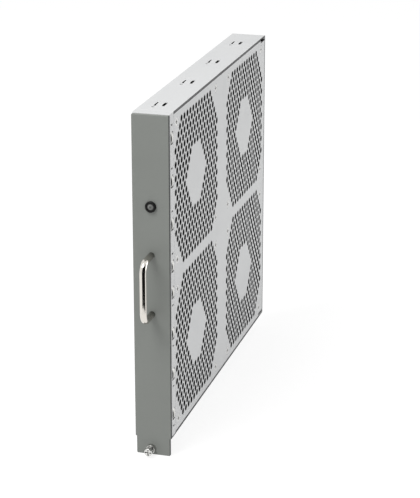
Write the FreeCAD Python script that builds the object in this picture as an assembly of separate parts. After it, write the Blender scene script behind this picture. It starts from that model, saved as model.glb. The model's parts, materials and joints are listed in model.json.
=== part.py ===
import FreeCAD, Part
import math
import os

# Slim plug-in fan module: four axial fans between two perforated side plates, with a painted
# front panel, a bow handle, an indicator lamp and a captive screw on a tab below the panel.
# X runs across the module, Y from front to rear, Z up. The origin is the middle of the bottom face.
# All sizes are millimetres.

V = FreeCAD.Vector

# Body
body_width = 28.4
body_depth = 277.0
body_height = 252.0
sheet = 0.8
bend_radius = 1.6
plate_bend_radius = 1.2
plate_flange = 9.0
corner_notch_length = 14.0
corner_notch_height = 3.0
lip_overlap = 6.0
lip_width = 10.0

# Front frame and its ground springs
frame_depth = 9.0
spring_first = 8.7
spring_pitch = 32.4
springs_per_half = 4
spring_lead = 5.0
spring_setback = 4.6
spring_window = 9.6
spring_width = 3.8
spring_gap = 1.0
spring_gauge = 0.25
spring_rise = 0.7
spring_foot = 3.0
spring_slot_length = 3.4
spring_slot_width = 1.4

# Bridges raised from the top wall
bridge_first = 27.0
bridge_pitch = 71.2
bridge_count = 4
bridge_length = 10.5
bridge_strip = 4.6
bridge_slit = 1.8
bridge_rise = 0.5
bridge_side = -0.8
bridge_ramp = 3.0
bridge_pilot_radius = 1.2
bridge_pilot_lead = 3.6

# Perforation about each fan axis
hole_diameter = 4.8
hole_pitch = 7.62
row_pitch = 5.21
rows_outward = 10
rows_inward = 11
columns_each_side = 7
corner_reach_in_holes = 10.6
hub_rows = 4
hub_reach_in_holes = 3.4

# Front panel and its tab
panel_thickness = 2.0
panel_top_gap = 0.6
panel_corner = 1.2
panel_edge = 0.7
tab_drop = 14.3
tab_step = 1.0
tab_corner = 1.0
stud_radius = 1.5
stud_length = 6.0
stud_embed = 1.2
stud_side = 9.0
stud_end_margin = 20.0
nut_flats = 5.5
nut_height = 2.4

# Bow handle
handle_centres = 46.0
handle_height = 122.5
handle_bar = 5.0
handle_reach = 20.5
handle_bend = 8.0
handle_bore_depth = 9.0
handle_screw_radius = 1.6
handle_screw_play = 0.2
handle_screw_engagement = 7.0
handle_screw_head_radius = 3.4
handle_screw_head_height = 2.4
handle_screw_head_round = 1.2

# Indicator lamp
lamp_height = 182.8
lamp_radius = 2.5
lamp_proud = 0.2
lamp_dome = 0.9
lamp_flange_radius = 2.9
lamp_flange_height = 1.0
lamp_play = 0.1
bezel_lip_radius = 4.2
bezel_lip_height = 1.7
bezel_lip_round = 0.6
bezel_barrel_radius = 3.3
bezel_length = 6.5
collar_radius = 4.6
collar_length = 2.6

# Captive screw
screw_drop = 9.2
screw_side = -1.6
ferrule_radius = 3.4
ferrule_height = 3.2
ferrule_spigot_radius = 2.5
ferrule_recess_radius = 2.7
ferrule_recess_depth = 2.4
ferrule_edge = 0.4
screw_thread_radius = 1.5
screw_thread_length = 5.0
screw_fit = 0.08
screw_head_radius = 3.1
screw_head_height = 2.6
screw_head_edge = 0.5
screw_slot_width = 0.9
screw_slot_depth = 1.2
screw_travel = 2.5
screw_travel_spare = 0.5
clip_radius = 2.3
clip_height = 0.6
clip_groove_radius = 1.2
coil_wire = 0.4
coil_radius = 2.25
coil_turns = 5.0

# Fans
fan_size = 119.0
fan_depth = 25.0
fan_front = 69.0
fan_pitch_y = 141.5
fan_pitch_z = 128.0
fan_hole_spacing = 105.0
fan_hole_radius = 2.15
fan_corner_radius = 6.0
fan_flange = 4.0
fan_bore_radius = 57.6
fan_bore_flare = 1.3
fan_tube_wall = 1.6
fan_post_radius = 4.4
motor_base_radius = 23.0
motor_base_height = 2.6
strut_count = 4
strut_width = 4.5
strut_height = 4.2
strut_turn = 45.0
bearing_tube_radius = 5.4
bearing_tube_height = 14.0
bearing_radius = 4.0
bearing_height = 4.0

# Impeller and motor
hub_radius = 21.0
hub_wall = 1.6
hub_height = 18.6
hub_round = 2.4
hub_clearance = 1.6
hub_boss_radius = 3.4
hub_boss_height = 3.0
blade_count = 7
blade_tip_clearance = 1.1
blade_root_sink = 0.9
blade_root_chord = 21.0
blade_tip_chord = 37.0
blade_root_angle = 44.0
blade_tip_angle = 27.0
blade_sweep = 13.0
blade_thickness = 1.5
blade_camber = 0.09
blade_setback = 9.3
shaft_radius = 1.5
shaft_fit = 0.05
magnet_wall = 2.2
magnet_height = 12.0
stator_clearance = 0.7
stator_height = 6.4
stator_poles = 4
stator_ring = 2.6
pole_width = 5.0
pole_shoe = 2.2
pole_gap_angle = 14.0
coil_build = 1.5
coil_round = 1.2
coil_shoe_gap = 0.5
motor_board_height = 1.2
motor_board_margin = 1.5

# Fan screws, flush in the right-hand plate
fan_screw_radius = 2.0
fan_screw_head_radius = 3.3
fan_screw_length = 9.0
fan_screw_recess_width = 0.9
fan_screw_recess_length = 3.4
fan_screw_recess_depth = 0.9
fan_hole_lead = 0.7

# Rear connector
connector_height = 126.0
connector_width = 10.0
connector_length = 44.0
connector_wall = 1.4
connector_proud = 4.0
connector_floor = 2.0
connector_play = 0.3
contact_rows = 2
contacts_per_row = 8
contact_row_pitch = 3.6
contact_pitch = 4.6
contact_radius = 0.5
contact_length = 5.0
board_thickness = 1.2
board_width = 20.0
board_length = 70.0
standoff_radius = 2.5
standoff_height = 2.5
standoff_bore_radius = 1.05
board_screw_radius = 1.0
board_screw_head_radius = 2.0
board_screw_head_height = 1.2
board_screw_margin = 5.0

# Places worked out from the sizes above
half_width = body_width / 2
front_y = -body_depth / 2
rear_y = body_depth / 2
panel_face_y = front_y - panel_thickness
frame_back_y = front_y + frame_depth
web_inner_y = front_y + sheet
wall_inner_x = half_width - sheet
top_inner_z = body_height - sheet
mid_z = body_height / 2
fan_face_x = wall_inner_x
fan_back_x = fan_face_x - fan_depth
fan_centres = {
    "upper_front": (front_y + fan_front, mid_z + fan_pitch_z / 2),
    "upper_rear": (front_y + fan_front + fan_pitch_y, mid_z + fan_pitch_z / 2),
    "lower_front": (front_y + fan_front, mid_z - fan_pitch_z / 2),
    "lower_rear": (front_y + fan_front + fan_pitch_y, mid_z - fan_pitch_z / 2),
}
hub_face_x = fan_face_x - hub_clearance
hub_back_x = hub_face_x - hub_height
base_face_x = fan_back_x + motor_base_height


# Small solids
def block(x0, x1, y0, y1, z0, z1):
    return Part.makeBox(x1 - x0, y1 - y0, z1 - z0, V(x0, y0, z0))


def rod(radius, start, end):
    run = end.sub(start)
    return Part.makeCylinder(radius, run.Length, start, run)


def cone(start_radius, end_radius, start, end):
    run = end.sub(start)
    return Part.makeCone(start_radius, end_radius, run.Length, start, run)


def ring(outer, inner, start, end):
    return rod(outer, start, end).cut(rod(inner, start, end))


def edges_along(shape, direction, near):
    # Straight edges parallel to a direction whose middle satisfies a test.
    chosen = []
    for edge in shape.Edges:
        run = edge.Vertexes[-1].Point.sub(edge.Vertexes[0].Point)
        if run.Length > 0 and abs(run.normalize().dot(direction)) > 0.999 and near(edge.CenterOfMass):
            chosen.append(edge)
    return chosen


def rounded_plate(x0, x1, y_mid, z_mid, size, radius):
    half = size / 2
    plate = block(x0, x1, y_mid - half, y_mid + half, z_mid - half, z_mid + half)
    return plate.makeFillet(radius, edges_along(plate, V(1, 0, 0), lambda point: True))


def save(name, shape):
    shape.exportStep(os.path.join("parts", name + ".step"))


# Perforation
def grille_offsets(outward):
    # Hole centres about one fan axis as (y, z) offsets, staggered row by row. The rows stop at
    # cut corners, and a hexagon over the motor hub stays plain. Upper fans have outward = 1.
    corner_reach = corner_reach_in_holes * hole_pitch
    hub_reach = hub_reach_in_holes * hole_pitch
    offsets = []
    for row in range(-rows_inward, rows_outward + 1):
        stagger = hole_pitch / 4 if row % 2 else -hole_pitch / 4
        middle = row + (rows_inward - rows_outward) / 2
        for column in range(-columns_each_side, columns_each_side + 1):
            y = column * hole_pitch + stagger
            past_corner = abs(y) + abs(middle) * hole_pitch / 2 > corner_reach
            over_hub = abs(row) <= hub_rows and abs(y) + abs(row) * hole_pitch / 2 < hub_reach
            if not past_corner and not over_hub:
                offsets.append((y, outward * row * row_pitch))
    return offsets


def grille_holes():
    holes = []
    for fan_y, fan_z in fan_centres.values():
        outward = 1 if fan_z > mid_z else -1
        for y, z in grille_offsets(outward):
            holes.append((fan_y + y, fan_z + z))
    return holes


def perforated_sheet(x, thickness, y0, y1, z0, z1):
    # One flat sheet whose face carries every hole; the holes run the opposite way round.
    corners = [V(x, y0, z0), V(x, y1, z0), V(x, y1, z1), V(x, y0, z1), V(x, y0, z0)]
    wires = [Part.makePolygon(corners)]
    for y, z in grille_holes():
        circle = Part.makeCircle(hole_diameter / 2, V(x, y, z), V(-1, 0, 0))
        wires.append(Part.Wire([circle]))
    return Part.Face(wires).extrude(V(thickness, 0, 0))


# Side plates
def plate_flange_strip(length):
    # Bend and flange of a side plate as an L-shaped strip along +Y. Its corner is at the origin:
    # the plate runs down along -Z from it and the flange runs along -X.
    r_out = plate_bend_radius
    r_in = plate_bend_radius - sheet
    diagonal = math.sqrt(0.5)
    outer = [V(0, 0, -r_out), V(r_out * (diagonal - 1), 0, r_out * (diagonal - 1)), V(-r_out, 0, 0)]
    inner = [V(-r_out, 0, -sheet), V(-r_out + r_in * diagonal, 0, -r_out + r_in * diagonal),
             V(-sheet, 0, -r_out)]
    profile = Part.Wire([
        Part.Arc(*outer).toShape(),
        Part.makeLine(outer[2], V(-plate_flange, 0, 0)),
        Part.makeLine(V(-plate_flange, 0, 0), V(-plate_flange, 0, -sheet)),
        Part.makeLine(V(-plate_flange, 0, -sheet), inner[0]),
        Part.Arc(*inner).toShape(),
        Part.makeLine(inner[2], outer[0]),
    ])
    return Part.Face(profile).extrude(V(0, length, 0))


def side_plate():
    # Right-hand plate: perforated sheet with flanges folded in along its top, bottom and rear, and
    # its rear corners notched where the flanges would meet.
    y0, y1 = frame_back_y, rear_y - sheet
    z0, z1 = sheet, top_inner_z
    r = plate_bend_radius
    flat = perforated_sheet(wall_inner_x, sheet, y0, y1 - r, z0 + r, z1 - r)
    notches = [block(wall_inner_x, half_width, y1 - corner_notch_length, y1, low, low + corner_notch_height)
               for low in (z0, z1 - corner_notch_height)]
    top = plate_flange_strip(y1 - corner_notch_length - y0)
    top.translate(V(half_width, y0, z1))
    bottom = top.mirror(V(0, 0, mid_z), V(0, 0, 1))
    rear = plate_flange_strip(z1 - z0 - 2 * corner_notch_height)
    rear.rotate(V(0, 0, 0), V(1, 0, 0), -90)
    rear.translate(V(half_width, y1, z1 - corner_notch_height))
    return flat.cut(Part.makeCompound(notches)).multiFuse([top, bottom, rear])


def right_plate():
    plate = side_plate()
    sinks = [fan_screw_sink(y, z) for y, z in fan_screw_places()]
    return plate.cut(Part.makeCompound(sinks))


def left_plate():
    return side_plate().mirror(V(0, 0, 0), V(1, 0, 0))


# Perimeter and front frame
def perimeter_profile(inset, radius, front):
    # Outline of the top, rear and bottom walls, open at the front, at an inset from the outside.
    y1, z0, z1 = rear_y - inset, inset, body_height - inset
    slant = radius * (1 - math.sqrt(0.5))
    return [
        Part.makeLine(V(-half_width, front, z1), V(-half_width, y1 - radius, z1)),
        Part.Arc(V(-half_width, y1 - radius, z1), V(-half_width, y1 - slant, z1 - slant),
                 V(-half_width, y1, z1 - radius)).toShape(),
        Part.makeLine(V(-half_width, y1, z1 - radius), V(-half_width, y1, z0 + radius)),
        Part.Arc(V(-half_width, y1, z0 + radius), V(-half_width, y1 - slant, z0 + slant),
                 V(-half_width, y1 - radius, z0)).toShape(),
        Part.makeLine(V(-half_width, y1 - radius, z0), V(-half_width, front, z0)),
    ]


def perimeter_wrap():
    outer = perimeter_profile(0, bend_radius, frame_back_y)
    inner = perimeter_profile(sheet, bend_radius - sheet, frame_back_y)
    ends = [
        Part.makeLine(outer[0].Vertexes[0].Point, inner[0].Vertexes[0].Point),
        Part.makeLine(outer[-1].Vertexes[-1].Point, inner[-1].Vertexes[-1].Point),
    ]
    outline = Part.Wire(Part.__sortEdges__(outer + inner + ends))
    wrap = Part.Face(outline).extrude(V(body_width, 0, 0))
    for z in (sheet, top_inner_z - sheet):
        lip = block(-lip_width / 2, lip_width / 2, frame_back_y - lip_overlap,
                    frame_back_y + lip_overlap, z, z + sheet)
        wrap = wrap.fuse(lip)
    for index in range(bridge_count):
        wrap = raise_bridge(wrap, front_y + bridge_first + index * bridge_pitch)
    return wrap.cut(connector_window())


def raise_bridge(wall, y_mid):
    # A strip between two slits in the top wall, pushed up so that it stands as a low bridge, with a
    # pilot hole in front of its left-hand slit.
    half = bridge_length / 2
    half_strip = bridge_strip / 2
    pilot = V(bridge_side - half_strip - bridge_slit / 2, y_mid - half - bridge_pilot_lead, top_inner_z)
    window = block(bridge_side - half_strip - bridge_slit, bridge_side + half_strip + bridge_slit,
                   y_mid - half, y_mid + half, top_inner_z - sheet, body_height + sheet)
    top, under = body_height, top_inner_z
    path = [
        V(0, y_mid - half, under), V(0, y_mid - half, top),
        V(0, y_mid - half + bridge_ramp, top + bridge_rise),
        V(0, y_mid + half - bridge_ramp, top + bridge_rise),
        V(0, y_mid + half, top), V(0, y_mid + half, under),
        V(0, y_mid + half - bridge_ramp, under + bridge_rise),
        V(0, y_mid - half + bridge_ramp, under + bridge_rise),
        V(0, y_mid - half, under),
    ]
    strip = Part.Face(Part.makePolygon(path)).extrude(V(bridge_strip, 0, 0))
    strip.translate(V(bridge_side - half_strip, 0, 0))
    wall = wall.cut(rod(bridge_pilot_radius, pilot, pilot.add(V(0, 0, sheet))))
    return wall.cut(window).fuse(strip)


def front_frame():
    # Shallow pan behind the painted panel: a web and four flanges, open at the rear.
    outer = block(-half_width, half_width, front_y, frame_back_y, 0, body_height)
    front_edges = [edge for edge in outer.Edges if abs(edge.CenterOfMass.y - front_y) < 1e-6]
    outer = outer.makeFillet(bend_radius, front_edges)
    inner = block(-wall_inner_x, wall_inner_x, web_inner_y, frame_back_y + sheet, sheet, top_inner_z)
    inner_edges = [edge for edge in inner.Edges if abs(edge.CenterOfMass.y - web_inner_y) < 1e-6]
    inner = inner.makeFillet(bend_radius - sheet, inner_edges)
    frame = outer.cut(inner)
    cuts = [rod(bezel_barrel_radius, V(0, front_y - sheet, lamp_height),
                V(0, web_inner_y + sheet, lamp_height))]
    for z in handle_leg_heights():
        cuts.append(rod(handle_screw_radius + handle_screw_play, V(0, front_y - sheet, z),
                        V(0, web_inner_y + sheet, z)))
    for x, z in stud_places():
        cuts.append(rod(stud_radius, V(x, front_y - sheet, z), V(x, web_inner_y + sheet, z)))
    for z, outward in spring_places():
        cuts.extend(spring_openings(z, outward))
    return frame.cut(Part.makeCompound(cuts))


# Ground springs
def spring_places():
    # Middle of each spring's window and the way to its nearer end of the frame, mirrored about mid height.
    places = []
    for index in range(springs_per_half):
        from_end = spring_first + index * spring_pitch + spring_lead + spring_window / 2
        places.extend([(from_end, -1), (body_height - from_end, 1)])
    return places


def spring_openings(z, outward):
    # On each side, the window that one spring bows out through, and a locating slot beyond it.
    y = front_y + spring_setback
    half_gap = spring_width / 2 + spring_gap
    slot_z = z + outward * (spring_window / 2 + spring_lead)
    openings = []
    for side in (-1, 1):
        x0, x1 = sorted((side * (wall_inner_x - sheet), side * (half_width + sheet)))
        openings.append(block(x0, x1, y - half_gap, y + half_gap,
                              z - spring_window / 2, z + spring_window / 2))
        openings.append(block(x0, x1, y - spring_slot_length / 2, y + spring_slot_length / 2,
                              slot_z - spring_slot_width / 2, slot_z + spring_slot_width / 2))
    return openings


def ground_spring(z):
    # Leaf of the right-hand flange: it bows out through its window, and its feet lie against the
    # flange's inner face.
    y0 = front_y + spring_setback - spring_width / 2
    low, high = z - spring_window / 2, z + spring_window / 2

    def skin(x):
        return [
            Part.makeLine(V(x, y0, low - spring_foot), V(x, y0, low)),
            Part.Arc(V(x, y0, low), V(x + sheet + spring_rise, y0, z), V(x, y0, high)).toShape(),
            Part.makeLine(V(x, y0, high), V(x, y0, high + spring_foot)),
        ]

    outer, inner = wall_inner_x, wall_inner_x - spring_gauge
    ends = [Part.makeLine(V(inner, y0, end), V(outer, y0, end))
            for end in (low - spring_foot, high + spring_foot)]
    outline = Part.Wire(Part.__sortEdges__(skin(outer) + skin(inner) + ends))
    return Part.Face(outline).extrude(V(0, spring_width, 0))


def ground_springs():
    springs = []
    for z, _ in spring_places():
        spring = ground_spring(z)
        springs.extend([spring, spring.mirror(V(0, 0, 0), V(1, 0, 0))])
    return Part.makeCompound(springs)


# Front panel
def stud_places():
    heights = (stud_end_margin, body_height - stud_end_margin)
    return [(x, z) for x in (-stud_side, stud_side) for z in heights]


def eased_plate(half, low, high, corner_z, corner_radius):
    # Flat plate in the panel's thickness, with two rounded corners and eased front rims.
    plate = block(-half, half, panel_face_y, front_y, low, high)
    corners = edges_along(plate, V(0, 1, 0), lambda point: abs(point.z - corner_z) < 1e-6)
    plate = plate.makeFillet(corner_radius, corners)
    rims = edges_along(plate, V(0, 0, 1), lambda point: abs(point.y - panel_face_y) < 1e-6)
    return plate.makeFillet(panel_edge, rims)


def front_panel():
    # The tab below keeps a rear face of its own, which seats on the chassis.
    top = body_height - panel_top_gap
    plate = eased_plate(half_width, 0, top, top, panel_corner)
    panel = plate.fuse(eased_plate(half_width - tab_step, -tab_drop, 0, -tab_drop, tab_corner))
    cuts = [
        rod(bezel_barrel_radius, V(0, panel_face_y, lamp_height), V(0, front_y, lamp_height)),
        rod(ferrule_spigot_radius, along_screw(0), along_screw(-panel_thickness)),
    ]
    for z in handle_leg_heights():
        cuts.append(rod(handle_screw_radius + handle_screw_play, V(0, panel_face_y, z), V(0, front_y, z)))
    for x, z in stud_places():
        cuts.append(rod(stud_radius, V(x, front_y - stud_embed, z), V(x, front_y, z)))
    return panel.cut(Part.makeCompound(cuts))


def panel_studs():
    start = front_y - stud_embed
    return Part.makeCompound([
        rod(stud_radius, V(x, start, z), V(x, start + stud_length, z)) for x, z in stud_places()
    ])


def panel_nuts():
    nuts = []
    for x, z in stud_places():
        corner = nut_flats / math.sqrt(3)
        points = []
        for index in range(7):
            angle = math.radians(60 * index)
            points.append(V(x + corner * math.cos(angle), web_inner_y, z + corner * math.sin(angle)))
        blank = Part.Face(Part.makePolygon(points)).extrude(V(0, nut_height, 0))
        nuts.append(blank.cut(rod(stud_radius, V(x, web_inner_y, z), V(x, web_inner_y + nut_height, z))))
    return Part.makeCompound(nuts)


# Handle
def handle_leg_heights():
    return (handle_height - handle_centres / 2, handle_height + handle_centres / 2)


def pull_handle():
    low, high = handle_leg_heights()
    bar_y = panel_face_y - handle_reach
    slant = handle_bend * (1 - math.sqrt(0.5))
    path = Part.Wire([
        Part.makeLine(V(0, panel_face_y, low), V(0, bar_y + handle_bend, low)),
        Part.Arc(V(0, bar_y + handle_bend, low), V(0, bar_y + slant, low + slant),
                 V(0, bar_y, low + handle_bend)).toShape(),
        Part.makeLine(V(0, bar_y, low + handle_bend), V(0, bar_y, high - handle_bend)),
        Part.Arc(V(0, bar_y, high - handle_bend), V(0, bar_y + slant, high - slant),
                 V(0, bar_y + handle_bend, high)).toShape(),
        Part.makeLine(V(0, bar_y + handle_bend, high), V(0, panel_face_y, high)),
    ])
    section = Part.Wire([Part.makeCircle(handle_bar / 2, V(0, panel_face_y, low), V(0, 1, 0))])
    bow = path.makePipeShell([section], True, True)
    for z in (low, high):
        bow = bow.cut(rod(handle_screw_radius, V(0, panel_face_y, z),
                          V(0, panel_face_y - handle_bore_depth, z)))
    return bow


def handle_screws():
    screws = []
    for z in handle_leg_heights():
        head = rod(handle_screw_head_radius, V(0, web_inner_y, z),
                   V(0, web_inner_y + handle_screw_head_height, z))
        rim = [edge for edge in head.Edges
               if len(edge.Vertexes) == 1 and edge.CenterOfMass.y > web_inner_y + 1e-6]
        head = head.makeFillet(handle_screw_head_round, rim)
        shank = rod(handle_screw_radius, V(0, web_inner_y, z),
                    V(0, panel_face_y - handle_screw_engagement, z))
        screws.append(head.fuse(shank))
    return Part.makeCompound(screws)


# Indicator lamp
def led_bezel():
    axis = V(0, panel_face_y, lamp_height)
    lip_y = panel_face_y - bezel_lip_height
    lip = rod(bezel_lip_radius, axis, V(0, lip_y, lamp_height))
    rim = [edge for edge in lip.Edges if len(edge.Vertexes) == 1 and edge.CenterOfMass.y < lip_y + 1e-6]
    lip = lip.makeFillet(bezel_lip_round, rim)
    barrel = rod(bezel_barrel_radius, axis, V(0, panel_face_y + bezel_length, lamp_height))
    bore = rod(lamp_radius + lamp_play, V(0, lip_y, lamp_height),
               V(0, panel_face_y + bezel_length, lamp_height))
    return lip.fuse(barrel).cut(bore)


def led_lamp():
    # Turned about its axis: a shallow dome, a plain body and a flange behind the bezel.
    back_y = panel_face_y + bezel_length
    nose_y = panel_face_y - bezel_lip_height - lamp_proud
    dome_radius = (lamp_radius ** 2 + lamp_dome ** 2) / (2 * lamp_dome)
    halfway = math.asin(lamp_radius / dome_radius) / 2

    def at(radius, y):
        return V(radius, y, lamp_height)

    dome = Part.Arc(at(0, nose_y),
                    at(dome_radius * math.sin(halfway), nose_y + dome_radius * (1 - math.cos(halfway))),
                    at(lamp_radius, nose_y + lamp_dome)).toShape()
    side = Part.makePolygon([
        at(lamp_radius, nose_y + lamp_dome),
        at(lamp_radius, back_y),
        at(lamp_flange_radius, back_y),
        at(lamp_flange_radius, back_y + lamp_flange_height),
        at(0, back_y + lamp_flange_height),
        at(0, nose_y),
    ])
    return Part.Face(Part.Wire([dome] + side.Edges)).revolve(at(0, 0), V(0, 1, 0), 360)


def led_collar():
    return ring(collar_radius, bezel_barrel_radius, V(0, web_inner_y, lamp_height),
                V(0, web_inner_y + collar_length, lamp_height))


# Captive screw
def along_screw(distance):
    # Point on the screw axis at a distance in front of the panel face.
    return V(screw_side, panel_face_y - distance, -screw_drop)


def captive_ferrule():
    flange = rod(ferrule_radius, along_screw(0), along_screw(ferrule_height))
    rim = [edge for edge in flange.Edges
           if len(edge.Vertexes) == 1 and edge.CenterOfMass.y < panel_face_y - ferrule_height / 2]
    flange = flange.makeFillet(ferrule_edge, rim)
    spigot = rod(ferrule_spigot_radius, along_screw(0), along_screw(-panel_thickness))
    recess = rod(ferrule_recess_radius, along_screw(ferrule_height - ferrule_recess_depth),
                 along_screw(ferrule_height))
    bore = rod(screw_thread_radius + screw_fit, along_screw(-panel_thickness), along_screw(ferrule_height))
    return flange.fuse(spigot).cut(recess).cut(bore)


def screw_head_back():
    return ferrule_height + screw_travel + screw_travel_spare


def captive_screw():
    back = screw_head_back()
    head = rod(screw_head_radius, along_screw(back), along_screw(back + screw_head_height))
    rims = [edge for edge in head.Edges if len(edge.Vertexes) == 1]
    head = head.makeFillet(screw_head_edge, rims)
    tip = panel_thickness + clip_height + screw_thread_length
    shank = rod(screw_thread_radius, along_screw(back), along_screw(-tip))
    groove = ring(screw_thread_radius + screw_fit, clip_groove_radius,
                  along_screw(-panel_thickness), along_screw(-panel_thickness - clip_height))
    slot_y = panel_face_y - back - screw_head_height
    cross = [
        block(screw_side - half_long, screw_side + half_long, slot_y, slot_y + screw_slot_depth,
              -screw_drop - half_tall, -screw_drop + half_tall)
        for half_long, half_tall in (
            (screw_head_radius - screw_head_edge, screw_slot_width / 2),
            (screw_slot_width / 2, screw_head_radius - screw_head_edge),
        )
    ]
    return head.fuse(shank).cut(groove).cut(cross[0].fuse(cross[1]))


def captive_clip():
    # Retaining ring in the screw's groove, behind the tab, with running room on every side.
    start = along_screw(-panel_thickness - screw_fit)
    end = along_screw(-panel_thickness - clip_height + screw_fit)
    return ring(clip_radius, clip_groove_radius + screw_fit, start, end)


def captive_spring():
    # Coil of square wire between the floor of the ferrule's recess and the back of the screw's head.
    half = coil_wire / 2
    floor = ferrule_height - ferrule_recess_depth + half
    length = screw_head_back() - half - floor
    helix = Part.makeHelix(length / coil_turns, length, coil_radius)
    corners = [V(coil_radius + across * half, 0, along * half)
               for across, along in ((-1, -1), (1, -1), (1, 1), (-1, 1), (-1, -1))]
    coil = Part.Wire(helix.Edges).makePipeShell([Part.makePolygon(corners)], True, True)
    coil.rotate(V(0, 0, 0), V(1, 0, 0), 90)
    coil.translate(along_screw(floor))
    return coil


# Fan frames
def fan_corner_offsets():
    half = fan_hole_spacing / 2
    return [(y, z) for y in (-half, half) for z in (-half, half)]


def fan_axis(x, place):
    y, z = fan_centres[place]
    return V(x, y, z)


def fan_frame(place):
    # Two square flanges joined by a tube and corner posts, with the motor base held by struts.
    y, z = fan_centres[place]
    front = rounded_plate(fan_face_x - fan_flange, fan_face_x, y, z, fan_size, fan_corner_radius)
    back = rounded_plate(fan_back_x, fan_back_x + fan_flange, y, z, fan_size, fan_corner_radius)
    tube_radius = fan_bore_radius + fan_tube_wall
    body = [back, rod(tube_radius, fan_axis(fan_back_x, place), fan_axis(fan_face_x, place))]
    for dy, dz in fan_corner_offsets():
        body.append(rod(fan_post_radius, V(fan_back_x, y + dy, z + dz), V(fan_face_x, y + dy, z + dz)))
    frame = front.multiFuse(body)
    mouth = fan_bore_radius + fan_bore_flare
    cuts = [
        rod(fan_bore_radius, fan_axis(fan_back_x, place), fan_axis(fan_face_x, place)),
        cone(fan_bore_radius, mouth, fan_axis(fan_face_x - fan_flange, place), fan_axis(fan_face_x, place)),
        cone(mouth, fan_bore_radius, fan_axis(fan_back_x, place), fan_axis(fan_back_x + fan_flange, place)),
    ]
    for dy, dz in fan_corner_offsets():
        cuts.append(rod(fan_hole_radius, V(fan_back_x, y + dy, z + dz), V(fan_face_x, y + dy, z + dz)))
        cuts.append(cone(fan_hole_radius, fan_hole_radius + fan_hole_lead,
                         V(fan_face_x - fan_hole_lead, y + dy, z + dz), V(fan_face_x, y + dy, z + dz)))
    frame = frame.cut(Part.makeCompound(cuts))
    return frame.multiFuse(motor_mount(place)).removeSplitter()


def motor_mount(place):
    # Motor base with its bearing tube, and the struts that reach the tube of the frame.
    base = rod(motor_base_radius, fan_axis(fan_back_x, place), fan_axis(base_face_x, place))
    tube_end = base_face_x + bearing_tube_height
    tube = rod(bearing_tube_radius, fan_axis(fan_back_x, place), fan_axis(tube_end, place))
    bore = rod(bearing_radius, fan_axis(base_face_x, place), fan_axis(tube_end, place))
    hub = base.fuse(tube).cut(bore)
    y, z = fan_centres[place]
    reach = fan_bore_radius + fan_tube_wall / 2
    struts = []
    for index in range(strut_count):
        strut = block(fan_back_x, fan_back_x + strut_height, y + motor_base_radius - fan_tube_wall,
                      y + reach, z - strut_width / 2, z + strut_width / 2)
        strut.rotate(V(0, y, z), V(1, 0, 0), strut_turn + 360 / strut_count * index)
        struts.append(strut)
    return [hub] + struts


def fan_bearings(place):
    tube_end = base_face_x + bearing_tube_height
    starts = (base_face_x, tube_end - bearing_height)
    return Part.makeCompound([
        ring(bearing_radius, shaft_radius + shaft_fit, fan_axis(x, place), fan_axis(x + bearing_height, place))
        for x in starts
    ])


# Impellers
def blade_section(radius, share):
    # Cambered plate section at a radius; share runs from 0 at the root to 1 at the tip.
    chord = blade_root_chord + share * (blade_tip_chord - blade_root_chord)
    angle = math.radians(blade_root_angle + share * (blade_tip_angle - blade_root_angle))
    shift = radius * math.radians(blade_sweep) * share
    camber = blade_camber * chord
    half = blade_thickness / 2

    def at(along, rise):
        tangent = shift + along * math.cos(angle) - rise * math.sin(angle)
        axial = along * math.sin(angle) + rise * math.cos(angle)
        return V(hub_face_x - blade_setback + axial, tangent, radius)

    upper = Part.Arc(at(-chord / 2, half), at(0, camber + half), at(chord / 2, half)).toShape()
    lower = Part.Arc(at(chord / 2, -half), at(0, camber - half), at(-chord / 2, -half)).toShape()
    nose = Part.makeLine(at(chord / 2, half), at(chord / 2, -half))
    tail = Part.makeLine(at(-chord / 2, -half), at(-chord / 2, half))
    return Part.Wire([upper, nose, lower, tail])


def blade():
    # Lofted along Z past the tip, then trimmed to a cylinder about the fan axis.
    root = hub_radius - blade_root_sink
    tip = fan_bore_radius - blade_tip_clearance
    sections = [blade_section(root + share * (tip + blade_tip_clearance - root), share)
                for share in (0.0, 0.5, 1.0)]
    solid = Part.makeLoft(sections, True, False)
    sweep = rod(tip, V(hub_back_x, 0, 0), V(hub_face_x, 0, 0))
    return solid.common(sweep)


def impeller_blank():
    # Hub cup with a rounded face, a boss for the shaft, and the blades round it, about the X axis.
    cup = rod(hub_radius, V(hub_back_x, 0, 0), V(hub_face_x, 0, 0))
    rim = [edge for edge in cup.Edges if len(edge.Vertexes) == 1 and edge.CenterOfMass.x > hub_face_x - 1e-6]
    cup = cup.makeFillet(hub_round, rim)
    floor_x = hub_face_x - hub_wall
    cup = cup.cut(rod(hub_radius - hub_wall, V(hub_back_x, 0, 0), V(floor_x, 0, 0)))
    cup = cup.fuse(rod(hub_boss_radius, V(floor_x - hub_boss_height, 0, 0), V(floor_x, 0, 0)))
    cup = cup.cut(rod(shaft_radius, V(floor_x - hub_boss_height, 0, 0), V(floor_x, 0, 0)))
    inside = rod(hub_radius - hub_wall, V(hub_back_x, 0, 0), V(floor_x, 0, 0))
    one = blade().cut(inside)
    blades = []
    for index in range(blade_count):
        turned = one.copy()
        turned.rotate(V(0, 0, 0), V(1, 0, 0), 360 / blade_count * index)
        blades.append(turned)
    return cup.multiFuse(blades)


def rotor_magnet(place):
    outer = hub_radius - hub_wall
    floor_x = hub_face_x - hub_wall
    return ring(outer, outer - magnet_wall, fan_axis(floor_x - magnet_height, place), fan_axis(floor_x, place))


def rotor_shaft(place):
    floor_x = hub_face_x - hub_wall
    return rod(shaft_radius, fan_axis(base_face_x + shaft_fit, place), fan_axis(floor_x, place))


# Motors
def stator_start_x():
    # The stator sits under the magnet, centred on its length.
    magnet_mid = hub_face_x - hub_wall - magnet_height / 2
    return magnet_mid - stator_height / 2


def stator_radius():
    return hub_radius - hub_wall - magnet_wall - stator_clearance


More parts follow.
